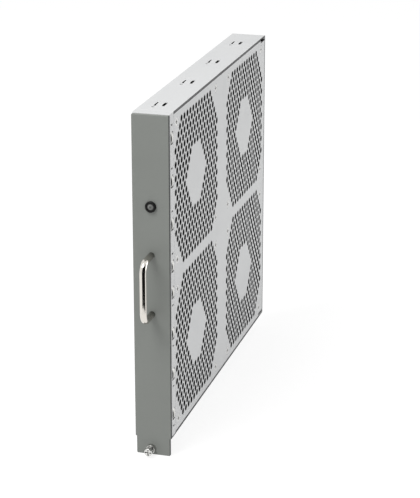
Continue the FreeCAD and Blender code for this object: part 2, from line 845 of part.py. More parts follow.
def stator_core(place):
    # Ring on the bearing tube with salient poles and curved shoes.
    x0 = stator_start_x()
    x1 = x0 + stator_height
    start, end = fan_axis(x0, place), fan_axis(x1, place)
    hub = rod(bearing_tube_radius + stator_ring, start, end)
    shoes = ring(stator_radius(), stator_radius() - pole_shoe, start, end)
    y, z = fan_centres[place]
    poles = []
    gaps = []
    for index in range(stator_poles):
        turn = 360 / stator_poles * index
        pole = block(x0, x1, y, y + stator_radius() - pole_shoe / 2, z - pole_width / 2, z + pole_width / 2)
        pole.rotate(V(0, y, z), V(1, 0, 0), turn)
        poles.append(pole)
        half_gap = stator_radius() * math.tan(math.radians(pole_gap_angle / 2))
        gap = block(x0, x1, y, y + stator_radius() + stator_clearance, z - half_gap, z + half_gap)
        gap.rotate(V(0, y, z), V(1, 0, 0), turn + 180 / stator_poles)
        gaps.append(gap)
    shoes = shoes.cut(Part.makeCompound(gaps))
    core = hub.multiFuse(poles + [shoes])
    return core.cut(rod(bearing_tube_radius, start, end)).removeSplitter()


def stator_coils(place):
    # One wound coil round each pole, between the core's ring and the pole shoe.
    y, z = fan_centres[place]
    x0 = stator_start_x()
    inner = bearing_tube_radius + stator_ring + coil_shoe_gap
    half = pole_width / 2
    shoe_radius = stator_radius() - pole_shoe - coil_shoe_gap
    outer = math.sqrt(shoe_radius ** 2 - (half + coil_build) ** 2)
    coils = []
    for index in range(stator_poles):
        coil = block(x0 - coil_build, x0 + stator_height + coil_build, y + inner, y + outer,
                     z - half - coil_build, z + half + coil_build)
        coil = coil.makeFillet(coil_round, edges_along(coil, V(0, 1, 0), lambda point: True))
        coil = coil.cut(block(x0, x0 + stator_height, y + inner, y + outer, z - half, z + half))
        coil.rotate(V(0, y, z), V(1, 0, 0), 360 / stator_poles * index)
        coils.append(coil)
    return Part.makeCompound(coils)


def motor_board(place):
    outer = stator_radius() - motor_board_margin
    return ring(outer, bearing_tube_radius, fan_axis(base_face_x, place),
                fan_axis(base_face_x + motor_board_height, place))


# Fan screws
def fan_screw_places():
    return [(y + dy, z + dz) for y, z in fan_centres.values() for dy, dz in fan_corner_offsets()]


def fan_screw_sink(y, z):
    # Countersink through the plate for one flush screw.
    return cone(fan_screw_head_radius, fan_screw_head_radius - sheet, V(half_width, y, z),
                V(wall_inner_x, y, z))


def fan_screw(y, z):
    head_height = fan_screw_head_radius - fan_screw_radius
    head = cone(fan_screw_head_radius, fan_screw_radius, V(half_width, y, z),
                V(half_width - head_height, y, z))
    shank = rod(fan_screw_radius, V(half_width - head_height, y, z),
                V(half_width - fan_screw_length, y, z))
    x0 = half_width - fan_screw_recess_depth
    long, short = fan_screw_recess_length / 2, fan_screw_recess_width / 2
    recess = block(x0, half_width, y - long, y + long, z - short, z + short)
    recess = recess.fuse(block(x0, half_width, y - short, y + short, z - long, z + long))
    return head.fuse(shank).cut(recess)


def fan_screws():
    return Part.makeCompound([fan_screw(y, z) for y, z in fan_screw_places()])


# Rear connector
def board_rear_y():
    return rear_y - sheet - standoff_height


def connector_block(grow, y0, y1):
    half = connector_width / 2 + grow
    tall = connector_length / 2 + grow
    return block(-half, half, y0, y1, connector_height - tall, connector_height + tall)


def connector_window():
    return connector_block(connector_play, rear_y - sheet, rear_y)


def rear_connector():
    shell = connector_block(0, board_rear_y(), rear_y + connector_proud)
    cavity = connector_block(-connector_wall, board_rear_y() + connector_floor, rear_y + connector_proud)
    holes = [rod(contact_radius, V(x, board_rear_y(), z), V(x, board_rear_y() + connector_floor, z))
             for x, z in contact_places()]
    return shell.cut(cavity).cut(Part.makeCompound(holes))


def contact_places():
    places = []
    for row in range(contact_rows):
        x = (row - (contact_rows - 1) / 2) * contact_row_pitch
        for index in range(contacts_per_row):
            places.append((x, connector_height + (index - (contacts_per_row - 1) / 2) * contact_pitch))
    return places


def connector_contacts():
    start = board_rear_y()
    end = start + connector_floor + contact_length
    return Part.makeCompound([rod(contact_radius, V(x, start, z), V(x, end, z)) for x, z in contact_places()])


def board_screw_heights():
    reach = board_length / 2 - board_screw_margin
    return (connector_height - reach, connector_height + reach)


def connector_board():
    y1 = board_rear_y()
    board = block(-board_width / 2, board_width / 2, y1 - board_thickness, y1,
                  connector_height - board_length / 2, connector_height + board_length / 2)
    holes = [rod(standoff_bore_radius, V(0, y1 - board_thickness, z), V(0, y1, z))
             for z in board_screw_heights()]
    return board.cut(Part.makeCompound(holes))


def board_standoffs():
    y0, y1 = board_rear_y(), rear_y - sheet
    return Part.makeCompound([
        ring(standoff_radius, standoff_bore_radius, V(0, y0, z), V(0, y1, z)) for z in board_screw_heights()
    ])


def board_screws():
    screws = []
    face = board_rear_y() - board_thickness
    for z in board_screw_heights():
        head = rod(board_screw_head_radius, V(0, face - board_screw_head_height, z), V(0, face, z))
        screws.append(head.fuse(rod(board_screw_radius, V(0, face, z), V(0, rear_y - sheet, z))))
    return Part.makeCompound(screws)


def build():
    os.makedirs("parts", exist_ok=True)
    save("perimeter_wrap", perimeter_wrap())
    save("front_frame", front_frame())
    save("right_side_plate", right_plate())
    save("left_side_plate", left_plate())
    save("ground_springs", ground_springs())
    save("front_panel", front_panel())
    save("panel_studs", panel_studs())
    save("panel_nuts", panel_nuts())
    save("pull_handle", pull_handle())
    save("handle_screws", handle_screws())
    save("led_bezel", led_bezel())
    save("led_lamp", led_lamp())
    save("led_collar", led_collar())
    save("captive_ferrule", captive_ferrule())
    save("captive_screw", captive_screw())
    save("captive_clip", captive_clip())
    save("captive_spring", captive_spring())
    save("fan_screws", fan_screws())
    save("connector_board", connector_board())
    save("rear_connector", rear_connector())
    save("connector_contacts", connector_contacts())
    save("board_standoffs", board_standoffs())
    save("board_screws", board_screws())
    blank = impeller_blank()
    for place in fan_centres:
        impeller = blank.copy()
        impeller.translate(fan_axis(0, place))
        save("impeller_" + place, impeller)
        save("fan_frame_" + place, fan_frame(place))
        save("rotor_magnet_" + place, rotor_magnet(place))
        save("rotor_shaft_" + place, rotor_shaft(place))
        save("fan_bearings_" + place, fan_bearings(place))
        save("stator_core_" + place, stator_core(place))
        save("stator_coils_" + place, stator_coils(place))
        save("motor_board_" + place, motor_board(place))


build()
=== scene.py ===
import json
import math

import bpy
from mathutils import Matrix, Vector


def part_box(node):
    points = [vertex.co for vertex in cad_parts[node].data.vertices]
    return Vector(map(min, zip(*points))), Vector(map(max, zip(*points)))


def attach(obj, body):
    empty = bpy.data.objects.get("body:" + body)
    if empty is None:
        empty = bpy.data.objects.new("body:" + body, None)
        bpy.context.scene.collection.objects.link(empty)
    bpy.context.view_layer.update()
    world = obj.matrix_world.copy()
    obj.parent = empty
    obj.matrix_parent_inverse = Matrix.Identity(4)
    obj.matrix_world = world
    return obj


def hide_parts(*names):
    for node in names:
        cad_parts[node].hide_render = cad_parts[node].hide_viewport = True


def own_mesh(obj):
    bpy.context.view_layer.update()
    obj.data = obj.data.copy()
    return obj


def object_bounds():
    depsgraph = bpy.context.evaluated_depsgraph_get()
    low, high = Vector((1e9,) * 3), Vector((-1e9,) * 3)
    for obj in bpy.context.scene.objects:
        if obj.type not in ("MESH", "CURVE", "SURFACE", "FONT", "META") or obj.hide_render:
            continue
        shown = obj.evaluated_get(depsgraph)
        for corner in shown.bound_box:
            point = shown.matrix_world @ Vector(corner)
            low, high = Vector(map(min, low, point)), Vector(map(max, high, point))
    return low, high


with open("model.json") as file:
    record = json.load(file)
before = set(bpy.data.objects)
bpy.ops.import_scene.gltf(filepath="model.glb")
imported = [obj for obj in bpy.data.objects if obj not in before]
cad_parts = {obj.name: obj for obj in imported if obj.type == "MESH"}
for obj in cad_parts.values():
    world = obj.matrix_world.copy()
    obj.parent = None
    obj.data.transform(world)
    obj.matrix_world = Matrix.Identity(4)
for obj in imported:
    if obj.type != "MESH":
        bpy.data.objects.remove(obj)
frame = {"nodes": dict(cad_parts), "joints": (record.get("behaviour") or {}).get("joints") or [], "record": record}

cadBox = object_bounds()
nodes = frame["nodes"]
scene = bpy.context.scene
print("frame loaded:", len(nodes), "nodes")


# node trees: sockets that add up, and one way to place any node

def plug(tree, socket, item):
    if isinstance(item, Value):
        tree.links.new(item.socket, socket)
    elif item is not None:
        socket.default_value = item


class Value:
    def __init__(self, tree, socket):
        self.tree = tree
        self.socket = socket

    def maths(self, operation, first, second=None):
        node = self.tree.nodes.new("ShaderNodeMath")
        node.operation = operation
        plug(self.tree, node.inputs[0], first)
        plug(self.tree, node.inputs[1], second)
        return Value(self.tree, node.outputs[0])

    def __add__(self, other):
        return self.maths("ADD", self, other)

    def __radd__(self, other):
        return self.maths("ADD", other, self)

    def __sub__(self, other):
        return self.maths("SUBTRACT", self, other)

    def __rsub__(self, other):
        return self.maths("SUBTRACT", other, self)

    def __mul__(self, other):
        return self.maths("MULTIPLY", self, other)

    def __rmul__(self, other):
        return self.maths("MULTIPLY", other, self)

    def __truediv__(self, other):
        return self.maths("DIVIDE", self, other)

    def __rtruediv__(self, other):
        return self.maths("DIVIDE", other, self)

    def __mod__(self, other):
        return self.maths("FLOORED_MODULO", self, other)

    def __abs__(self):
        return self.maths("ABSOLUTE", self)

    def __gt__(self, other):
        return self.maths("GREATER_THAN", self, other)

    def __lt__(self, other):
        return self.maths("LESS_THAN", self, other)

    def floor(self):
        return self.maths("FLOOR", self)

    def most(self, other):
        return self.maths("MAXIMUM", self, other)

    def least(self, other):
        return self.maths("MINIMUM", self, other)


class Tree:
    def __init__(self, tree):
        self.tree = tree
        tree.nodes.clear()

    def put(self, kind, settings=None, links=None, out=0):
        node = self.tree.nodes.new(kind)
        for key, value in (settings or {}).items():
            if key == "stops":
                setStops(node.color_ramp, value)
            else:
                setattr(node, key, value)
        for key, value in (links or {}).items():
            plug(self.tree, node.inputs[key], value)
        if len(node.outputs):
            return Value(self.tree, node.outputs[out])

    def mixColour(self, factor, first, second):
        return self.put("ShaderNodeMix", {"data_type": "RGBA"}, {0: factor, 6: first, 7: second}, 2)

    def vector(self, x, y, z):
        return self.put("ShaderNodeCombineXYZ", None, {0: x, 1: y, 2: z})

    def part(self, vector, axis):
        return self.put("ShaderNodeSeparateXYZ", None, {0: vector}, axis)


def setStops(ramp, stops):
    for element, (place, tone) in zip(ramp.elements, stops):
        element.position = place
        element.color = (tone, tone, tone, 1)


def srgb(red, green, blue):  # screen values 0-255 to a linear colour
    def linear(value):
        value = value / 255
        return value / 12.92 if value <= 0.04045 else ((value + 0.055) / 1.055) ** 2.4
    return (linear(red), linear(green), linear(blue), 1.0)


def darker(tone, share):  # a share above 1 makes it lighter
    return tuple(share * part for part in tone[:3]) + (1,)


class Finish(Tree):
    # a Principled material on Object coordinates
    def __init__(self, name):
        self.material = bpy.data.materials.new(name)
        self.material.use_nodes = True
        super().__init__(self.material.node_tree)
        self.spot = self.put("ShaderNodeTexCoord", out="Object")

    def moved(self, place=(0, 0, 0), scale=(1, 1, 1)):
        links = {"Vector": self.spot, "Location": place, "Scale": scale}
        return self.put("ShaderNodeMapping", None, links)

    def noise(self, scale, detail=3.0, roughness=0.55, stretch=None):
        spot = self.moved(scale=stretch) if stretch else self.spot
        links = {"Vector": spot, "Scale": scale, "Detail": detail, "Roughness": roughness}
        return self.put("ShaderNodeTexNoise", {"noise_dimensions": "3D"}, links)

    def ramp(self, value, start, end, first=0.0, last=1.0):
        stops = ((start, first), (end, last))
        return self.put("ShaderNodeValToRGB", {"stops": stops}, {"Fac": value})

    def bump(self, height, strength, distance, normal=None):
        links = {"Height": height, "Strength": strength, "Distance": distance, "Normal": normal}
        return self.put("ShaderNodeBump", None, links)

    def softEdge(self, radius):
        return self.put("ShaderNodeBevel", {"samples": 4}, {"Radius": radius})

    def edgeMask(self, radius):  # 1 on edges, 0 on flats
        flat = self.put("ShaderNodeNewGeometry", out="Normal")
        links = {0: self.softEdge(radius), 1: flat}
        agree = self.put("ShaderNodeVectorMath", {"operation": "DOT_PRODUCT"}, links, "Value")
        return self.ramp(1 - agree, start=0.02, end=0.25)

    def facing(self, axis):  # how squarely a face looks along an axis, either way
        normal = self.put("ShaderNodeNewGeometry", out="Normal")
        return abs(self.part(normal, axis))

    def crevice(self, reach, shut=0.25, clear=0.75):  # 1 deep in a corner or recess
        sky = self.put("ShaderNodeAmbientOcclusion", {"samples": 6}, {"Distance": reach}, "AO")
        return self.ramp(sky, shut, clear, first=1.0, last=0.0)

    def close(self, **sockets):
        names = {"colour": "Base Color", "roughness": "Roughness", "metallic": "Metallic",
                 "normal": "Normal", "coat": "Coat Weight", "coatRoughness": "Coat Roughness",
                 "specular": "Specular IOR Level"}
        links = {names[key]: value for key, value in sockets.items()}
        shader = self.put("ShaderNodeBsdfPrincipled", None, links)
        self.put("ShaderNodeOutputMaterial", None, {"Surface": shader})
        return self.material


# finishes

# the light edge tone is a painted highlight on the rounded edges of the wrap and frame, the rim tone is painted
# shade on the plates' edges and hole rims, and the cut tone is partly bare cut metal and partly painted shade
sheetLook = {"tone": srgb(213, 214, 214), "shade": srgb(204, 205, 206), "edge": srgb(232, 233, 233),
             "rim": srgb(58, 58, 60), "cut": srgb(44, 44, 46), "rough": 0.44, "paintedEdgeWidth": 0.0015,
             "paintedEdgeShare": 0.95, "seamReach": 0.002, "seamShare": 0.9, "cloudScale": 16,
             "smudgeScale": 45, "smudgeRough": 0.12, "grainScale": 1500, "grainStretch": (1, 0.12, 1),
             "grainRough": 0.10, "grainBump": 0.10, "grainDepth": 0.00008, "softRadius": 0.0003}


def sheetFinish(name, edge, cutAlong=None, cutAcross=None, paintedShadowLine=None):
    # satin sheet, with painted shade in its seams, on folds that turn away from one axis and in a line
    # along the foot and head of its sides; cut edges that look along one axis are dark, partly as bare
    # cut metal and partly as painted shade
    look = sheetLook
    sheet = Finish(name)
    cloud = sheet.noise(look["cloudScale"], detail=4)
    grain = sheet.noise(look["grainScale"], detail=2, roughness=0.6, stretch=look["grainStretch"])
    smudge = sheet.ramp(sheet.noise(look["smudgeScale"], roughness=0.6), start=0.52, end=0.75)
    colour = sheet.mixColour(cloud, look["tone"], look["shade"])
    # rounded edges take the given tone: a painted highlight on the wrap and frame, painted shade on the plates
    colour = sheet.mixColour(sheet.edgeMask(look["paintedEdgeWidth"]) * look["paintedEdgeShare"], colour, edge)
    # cut edges that look along the axis go dark: partly bare cut metal, partly painted shade
    if cutAlong:
        shearedEdgeShade = sheet.ramp(sheet.facing(cutAlong), start=0.6, end=0.9)
        colour = sheet.mixColour(shearedEdgeShade, colour, look["cut"])
    # painted shade on faces that turn away from the axis: the plates' folds and hole walls
    if cutAcross:
        paintedFoldShade = sheet.ramp(1 - sheet.facing(cutAcross), start=0.25, end=0.55)
        colour = sheet.mixColour(paintedFoldShade, colour, look["cut"])
    # painted shadow line along the foot and head of the upright sides
    if paintedShadowLine:
        low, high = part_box(paintedShadowLine["node"])
        height = sheet.part(sheet.spot, "Z")
        shadowLineBand = (height < low[2] + paintedShadowLine["foot"]).most(height > high[2] - paintedShadowLine["head"])
        upright = sheet.ramp(sheet.facing("X"), start=0.6, end=0.9)
        colour = sheet.mixColour(shadowLineBand * upright, colour, look["cut"])
    # painted shade in seams, corners and recesses
    paintedSeamShade = sheet.crevice(look["seamReach"], shut=0.4, clear=0.85)
    colour = sheet.mixColour(paintedSeamShade * look["seamShare"], colour, look["cut"])
    rough = look["rough"] + look["smudgeRough"] * smudge + look["grainRough"] * (grain - 0.5)
    rounded = sheet.softEdge(look["softRadius"])
    normal = sheet.bump(grain, look["grainBump"], look["grainDepth"], rounded)
    return sheet.close(colour=colour, roughness=rough, normal=normal, specular=0.4)


panelLook = {"tone": srgb(135, 138, 134), "shade": srgb(129, 132, 128), "edge": srgb(52, 54, 54),
             "speck": srgb(120, 123, 120), "rough": 0.5, "cloudScale": 22, "pebbleScale": 2600,
             "pebbleRough": 0.12, "pebbleBump": 0.45, "pebbleDepth": 0.00012, "speckScale": 5200,
             "speckShare": 0.25, "softRadius": 0.0003}


def panelFinish():  # fine pebbled paint, with painted shade on the plate's upright edges
    look = panelLook
    paint = Finish("panelPaint")
    cloud = paint.noise(look["cloudScale"])
    pebble = paint.noise(look["pebbleScale"], detail=2, roughness=0.5)
    speck = paint.ramp(paint.noise(look["speckScale"], detail=1), start=0.68, end=0.8)
    colour = paint.mixColour(cloud, look["tone"], look["shade"])
    colour = paint.mixColour(speck * look["speckShare"], colour, look["speck"])
    # painted shade: faces that look along X take the dark edge tone
    rim = paint.ramp(paint.facing("X"), start=0.3, end=0.75)
    colour = paint.mixColour(rim, colour, look["edge"])
    rough = look["rough"] + look["pebbleRough"] * (pebble - 0.5)
    rounded = paint.softEdge(look["softRadius"])
    normal = paint.bump(pebble, look["pebbleBump"], look["pebbleDepth"], rounded)
    return paint.close(colour=colour, roughness=rough, normal=normal, specular=0.35)


chromeLook = {"tone": (0.71, 0.68, 0.63, 1), "foot": (0.10, 0.10, 0.09, 1), "rough": 0.06,
              "footShadeReach": 0.022, "hazeScale": 130, "hazeRough": 0.05, "hairScale": 900,
              "hairStretch": (1, 1, 0.04), "hairRough": 0.03, "hairBump": 0.03, "hairDepth": 0.00004}


def chromeFinish():  # polished, with painted shade darkening the legs near the panel
    look = chromeLook
    chrome = Finish("handleChrome")
    haze = chrome.ramp(chrome.noise(look["hazeScale"], roughness=0.6), start=0.45, end=0.8)
    hair = chrome.noise(look["hairScale"], detail=2, roughness=0.7, stretch=look["hairStretch"])
    # painted shade: the chrome darkens towards the feet, where the panel is near
    foot = chrome.crevice(look["footShadeReach"], shut=0.5, clear=0.92)
    colour = chrome.mixColour(foot, look["tone"], look["foot"])
    rough = look["rough"] + look["hazeRough"] * haze + look["hairRough"] * hair
    normal = chrome.bump(hair, look["hairBump"], look["hairDepth"])
    return chrome.close(colour=colour, metallic=1.0, roughness=rough, normal=normal)


platedGrain = {"patchScale": 260, "patchShade": 0.86, "patchRough": 0.14, "grainScale": 2200,
               "grainRough": 0.08, "grainBump": 0.08, "grainDepth": 0.00005, "creviceShadeReach": 0.0012,
               "creviceShadeFactor": 0.05, "softRadius": 0.00015}
# the last share of each look sets how strongly its crevices take painted shade
platedLooks = {
    "spring_steel": {"name": "springSteel", "tone": (0.62, 0.62, 0.60, 1),
                     "rough": 0.40, "paintedCreviceShade": 0.3},
    "fastener_steel": {"name": "fastenerSteel", "tone": (0.66, 0.66, 0.65, 1),
                       "rough": 0.42, "paintedCreviceShade": 0.5},
    "ferrule_steel": {"name": "ferruleSteel", "tone": (0.60, 0.60, 0.58, 1),
                      "rough": 0.30, "paintedCreviceShade": 0.9},
    "shaft_steel": {"name": "shaftSteel", "tone": (0.64, 0.64, 0.64, 1),
                    "rough": 0.18, "paintedCreviceShade": 0.2},
    "bearing_steel": {"name": "bearingSteel", "tone": (0.58, 0.58, 0.58, 1),
                      "rough": 0.24, "paintedCreviceShade": 0.2},
    "contact_metal": {"name": "contactMetal", "tone": (0.78, 0.60, 0.28, 1),
                      "rough": 0.24, "paintedCreviceShade": 0.2},
}


def platedFinish(look):
    shared = platedGrain
    plating = Finish(look["name"])
    patch = plating.noise(shared["patchScale"], roughness=0.6)
    grain = plating.noise(shared["grainScale"], detail=2, roughness=0.6)
    # painted shade: crevices and recesses darken towards a near-black copy of the tone
    paintedCreviceShade = plating.crevice(shared["creviceShadeReach"]) * look["paintedCreviceShade"]
    colour = plating.mixColour(patch, look["tone"], darker(look["tone"], shared["patchShade"]))
    colour = plating.mixColour(paintedCreviceShade, colour, darker(look["tone"], shared["creviceShadeFactor"]))
    rough = look["rough"] + shared["patchRough"] * (patch - 0.5) + shared["grainRough"] * (grain - 0.5)
    rounded = plating.softEdge(shared["softRadius"])
    normal = plating.bump(grain, shared["grainBump"], shared["grainDepth"], rounded)
    return plating.close(colour=colour, metallic=1.0, roughness=rough, normal=normal)


screwLook = {"tone": (0.74, 0.74, 0.72, 1), "rough": 0.26, "patchScale": 300, "patchShade": 0.86,
             "patchRough": 0.14, "creviceShadeReach": 0.0012, "creviceShadeFactor": 0.04, "paintedCreviceShade": 0.9,
             "pitch": 0.0005, "threadFrom": -0.1378, "threadBump": 0.9, "threadDepth": 0.0003,
             "softRadius": 0.00015}


def screwFinish():  # bright plating, painted shade in the cross recess, with a thread behind the tab
    look = screwLook
    plating = Finish("screwSteel")
    patch = plating.noise(look["patchScale"], roughness=0.6)
    # painted shade in the cross recess and other crevices
    paintedCreviceShade = plating.crevice(look["creviceShadeReach"]) * look["paintedCreviceShade"]
    colour = plating.mixColour(patch, look["tone"], darker(look["tone"], look["patchShade"]))
    colour = plating.mixColour(paintedCreviceShade, colour, darker(look["tone"], look["creviceShadeFactor"]))
    along = plating.part(plating.spot, "Y")
    flank = abs((along / look["pitch"]) % 1 - 0.5) * (along > look["threadFrom"])
    rough = look["rough"] + look["patchRough"] * (patch - 0.5)
    rounded = plating.softEdge(look["softRadius"])
    normal = plating.bump(flank, look["threadBump"], look["threadDepth"], rounded)
    return plating.close(colour=colour, metallic=1.0, roughness=rough, normal=normal)


mouldedGrain = {"sparkScale": 1900, "sparkRough": 0.12, "sparkBump": 0.18, "sparkDepth": 0.00006,
                "cloudScale": 60, "cloudShade": 1.35, "softRadius": 0.0002}
mouldedLooks = {
    "lamp_black": {"name": "lampBlack", "tone": (0.006, 0.006, 0.006, 1),
                   "rough": 0.45, "specular": 0.2},
    "connector_plastic": {"name": "connectorPlastic", "tone": (0.02, 0.02, 0.021, 1),
                          "rough": 0.5, "specular": 0.5},
    "impeller_plastic": {"name": "impellerPlastic", "tone": (0.012, 0.012, 0.013, 1),
                         "rough": 0.48, "specular": 0.5},
    "fan_plastic": {"name": "fanPlastic", "tone": (0.014, 0.014, 0.014, 1),
                    "rough": 0.52, "specular": 0.5},
    "magnet": {"name": "magnetRing", "tone": (0.03, 0.03, 0.034, 1),
               "rough": 0.6, "specular": 0.5},
}


def mouldedFinish(look):
    shared = mouldedGrain
    plastic = Finish(look["name"])
    spark = plastic.noise(shared["sparkScale"], detail=2, roughness=0.6)
    cloud = plastic.noise(shared["cloudScale"])
    colour = plastic.mixColour(cloud, look["tone"], darker(look["tone"], shared["cloudShade"]))
    rough = look["rough"] + shared["sparkRough"] * (spark - 0.5)
    rounded = plastic.softEdge(shared["softRadius"])
    normal = plastic.bump(spark, shared["sparkBump"], shared["sparkDepth"], rounded)
    return plastic.close(colour=colour, roughness=rough, specular=look["specular"], normal=normal)


lensLook = {"rim": srgb(118, 119, 117), "core": srgb(74, 75, 74), "rough": 0.34, "cloudScale": 900,
            "cloudRough": 0.1, "cupBlur": 0.2}


def lensFinish():  # frosted lens with the dark chip cup showing in the middle
    look = lensLook
    lens = Finish("lampLens")
    low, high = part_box("led_lamp")
    middle = (Vector(low) + Vector(high)) / 2
    radius = (high[0] - low[0]) / 2
    spot = lens.moved((-middle.x / radius, 0, -middle.z / radius), (1 / radius, 0, 1 / radius))
    out = lens.put("ShaderNodeVectorMath", {"operation": "LENGTH"}, {0: spot}, "Value")
    cloud = lens.noise(look["cloudScale"], detail=2)
    cup = lens.ramp(out + look["cupBlur"] * (cloud - 0.5), start=0.15, end=0.5)
    colour = lens.mixColour(cup, look["core"], look["rim"])
    rough = look["rough"] + look["cloudRough"] * cloud
    return lens.close(colour=colour, roughness=rough, coat=0.3, coatRoughness=0.1, specular=0.4)


copperLook = {"bright": srgb(176, 98, 52), "dull": srgb(142, 72, 36), "rough": 0.32,
              "turnScale": 640.0, "turnSway": 0.4, "turnBump": 0.5, "turnDepth": 0.0001,
              "patchScale": 300, "patchRough": 0.1}


def woundFinish():  # copper turns run round the poles
    look = copperLook
    copper = Finish("windingCopper")
    links = {"Vector": copper.spot, "Scale": look["turnScale"], "Distortion": look["turnSway"]}
    turns = copper.put("ShaderNodeTexWave", {"wave_type": "RINGS", "rings_direction": "X"}, links)
    patch = copper.noise(look["patchScale"], detail=2)
    colour = copper.mixColour(patch, look["bright"], look["dull"])
    rough = look["rough"] + look["patchRough"] * patch
    normal = copper.bump(turns, look["turnBump"], look["turnDepth"])
    return copper.close(colour=colour, metallic=0.9, roughness=rough, normal=normal)


coreLook = {"gap": srgb(96, 97, 100), "face": srgb(140, 141, 143), "rough": 0.42,
            "layerScale": 620.0, "layerBump": 0.4, "layerDepth": 0.0001,
            "cloudScale": 500, "cloudRough": 0.1}


def laminatedFinish():  # stacked steel sheets
    look = coreLook
    core = Finish("coreSteel")
    links = {"Vector": core.spot, "Scale": look["layerScale"]}
    layers = core.put("ShaderNodeTexWave", {"wave_type": "BANDS", "bands_direction": "X"}, links)
    colour = core.mixColour(layers, look["gap"], look["face"])
    rough = look["rough"] + look["cloudRough"] * core.noise(look["cloudScale"], detail=2)
    normal = core.bump(layers, look["layerBump"], look["layerDepth"])
    return core.close(colour=colour, metallic=0.9, roughness=rough, normal=normal)


boardLook = {"mask": srgb(24, 78, 46), "track": srgb(58, 118, 78), "rough": 0.38,
             "trackScale": 320.0, "trackWidth": 0.04, "trackOffset": 0.37, "trackShare": 0.6,
             "trackBump": 0.2, "trackDepth": 0.00006, "cloudScale": 1500, "cloudRough": 0.12}


def boardFinish():  # green laminate with faint tracks
    look = boardLook
    board = Finish("circuitBoard")
    links = {"Vector": board.spot, "Scale": look["trackScale"], "Mortar Size": look["trackWidth"]}
    tracks = board.put("ShaderNodeTexBrick", {"offset": look["trackOffset"]}, links, "Fac")
    colour = board.mixColour(tracks * look["trackShare"], look["mask"], look["track"])
    rough = look["rough"] + look["cloudRough"] * board.noise(look["cloudScale"], detail=2)
    normal = board.bump(tracks, look["trackBump"], look["trackDepth"])
    return board.close(colour=colour, roughness=rough, coat=0.2, normal=normal)


# painted shadow lines: along the foot of the frame's sides, and the foot and head of the plates' sides
frameShadowLine = {"node": "front_frame", "foot": 0.0012, "head": 0.0}
plateShadowLine = {"node": "right_side_plate", "foot": 0.0012, "head": 0.0014}
finishes = {
    "light_sheet": sheetFinish("wrapSheet", sheetLook["edge"], cutAlong="X"),
    "frame_sheet": sheetFinish("frameSheet", sheetLook["edge"], paintedShadowLine=frameShadowLine),
    "panel_paint": panelFinish(),
    "handle_chrome": chromeFinish(),
    "screw_steel": screwFinish(),
    "lamp_lens": lensFinish(),
    "winding_copper": woundFinish(),
    "core_steel": laminatedFinish(),
    "circuit_board": boardFinish(),
}
finishes.update({slot: platedFinish(look) for slot, look in platedLooks.items()})
finishes.update({slot: mouldedFinish(look) for slot, look in mouldedLooks.items()})
# the plates' rounded edges and hole rims take the dark rim tone as painted shade
plateFinish = sheetFinish("plateSheet", sheetLook["rim"], cutAcross="X", paintedShadowLine=plateShadowLine)
ownFinish = {"right_side_plate": plateFinish, "left_side_plate": plateFinish}
for entry in frame["record"]["subparts"]:
    mesh = nodes[entry["node"]].data
    mesh.materials.clear()
    mesh.materials.append(ownFinish.get(entry["node"], finishes[entry["material_slot"]]))
print("finishes set:", len(finishes) + 1)


# geometry node pieces

class Growth(Tree):
    # a geometry node tree with named inputs, turned into a plain mesh piece
    def __init__(self, name, inputs):
        self.group = bpy.data.node_groups.new(name, "GeometryNodeTree")
        super().__init__(self.group)
        self.inputs = inputs
        for label, value in inputs.items():
            kind = "NodeSocketInt" if isinstance(value, int) else "NodeSocketFloat"
            self.group.interface.new_socket(label, in_out="INPUT", socket_type=kind)
        self.group.interface.new_socket("Geometry", in_out="OUTPUT", socket_type="NodeSocketGeometry")
        self.inlet = self.group.nodes.new("NodeGroupInput")

    def read(self, label):
        return Value(self.group, self.inlet.outputs[label])

    def finish(self, geometry, material, smooth):
        solid = self.put("GeometryNodeRealizeInstances", None, {"Geometry": geometry})
        links = {"Geometry": solid, "Shade Smooth": smooth}
        solid = self.put("GeometryNodeSetShadeSmooth", None, links)
        solid = self.put("GeometryNodeSetMaterial", None, {"Geometry": solid, "Material": material})
        self.put("NodeGroupOutput", None, {"Geometry": solid})

    def piece(self, name, **changes):
        carrier = bpy.data.objects.new(name, bpy.data.meshes.new(name + "Seed"))
        scene.collection.objects.link(carrier)
        modifier = carrier.modifiers.new(self.group.name, "NODES")
        modifier.node_group = self.group
        for item in self.group.interface.items_tree:
            if item.item_type == "SOCKET" and item.in_out == "INPUT":
                modifier[item.identifier] = changes.get(item.name, self.inputs[item.name])
        bpy.context.view_layer.update()
        graph = bpy.context.evaluated_depsgraph_get()
        mesh = bpy.data.meshes.new_from_object(carrier.evaluated_get(graph))
        carrier.modifiers.clear()
        carrier.data = mesh
        mesh.name = name
        return carrier


def settle(piece, body, slot, *stoodFor):
    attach(piece, body)
    if stoodFor:
        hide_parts(*stoodFor)
    print(piece.name, len(piece.data.polygons), "faces")


# painted shade on the walls of the round holes: one short dark sleeve in each hole of the four staggered fields
sleeves = {"holeDiameter": 0.0048, "sleevePlay": 0.00004, "sleeveWall": 0.00012, "plateWall": 0.0008,
           "faceSink": 0.00002, "sides": 12, "holePitch": 0.00762, "rowPitch": 0.00521,
           "rowsInward": 11, "rowsOutward": 10, "columnsEachSide": 7, "cornerReach": 10.6,
           "hubRows": 4, "hubReach": 3.4, "fanPitchY": 0.1415, "fanPitchZ": 0.128,
           "firstFanY": -0.0695, "middleZ": 0.126, "outerFace": 0.0142}
holeShadeLook = {"dark": srgb(14, 14, 15), "mottledShade": srgb(34, 34, 36), "rough": 0.6,
               "scuffScale": 1800, "scuffRough": 0.2, "scuffBump": 0.2, "scuffDepth": 0.00004}


# painted shade: a near-black, mottled tone for the hole sleeves
def holeShadeFinish():
    look = holeShadeLook
    wall = Finish("holeShadeWall")
    scuff = wall.noise(look["scuffScale"], roughness=0.6)
    colour = wall.mixColour(scuff, look["dark"], look["mottledShade"])
    rough = look["rough"] + look["scuffRough"] * (scuff - 0.5)
    normal = wall.bump(scuff, look["scuffBump"], look["scuffDepth"])
    return wall.close(colour=colour, roughness=rough, specular=0.2, normal=normal)


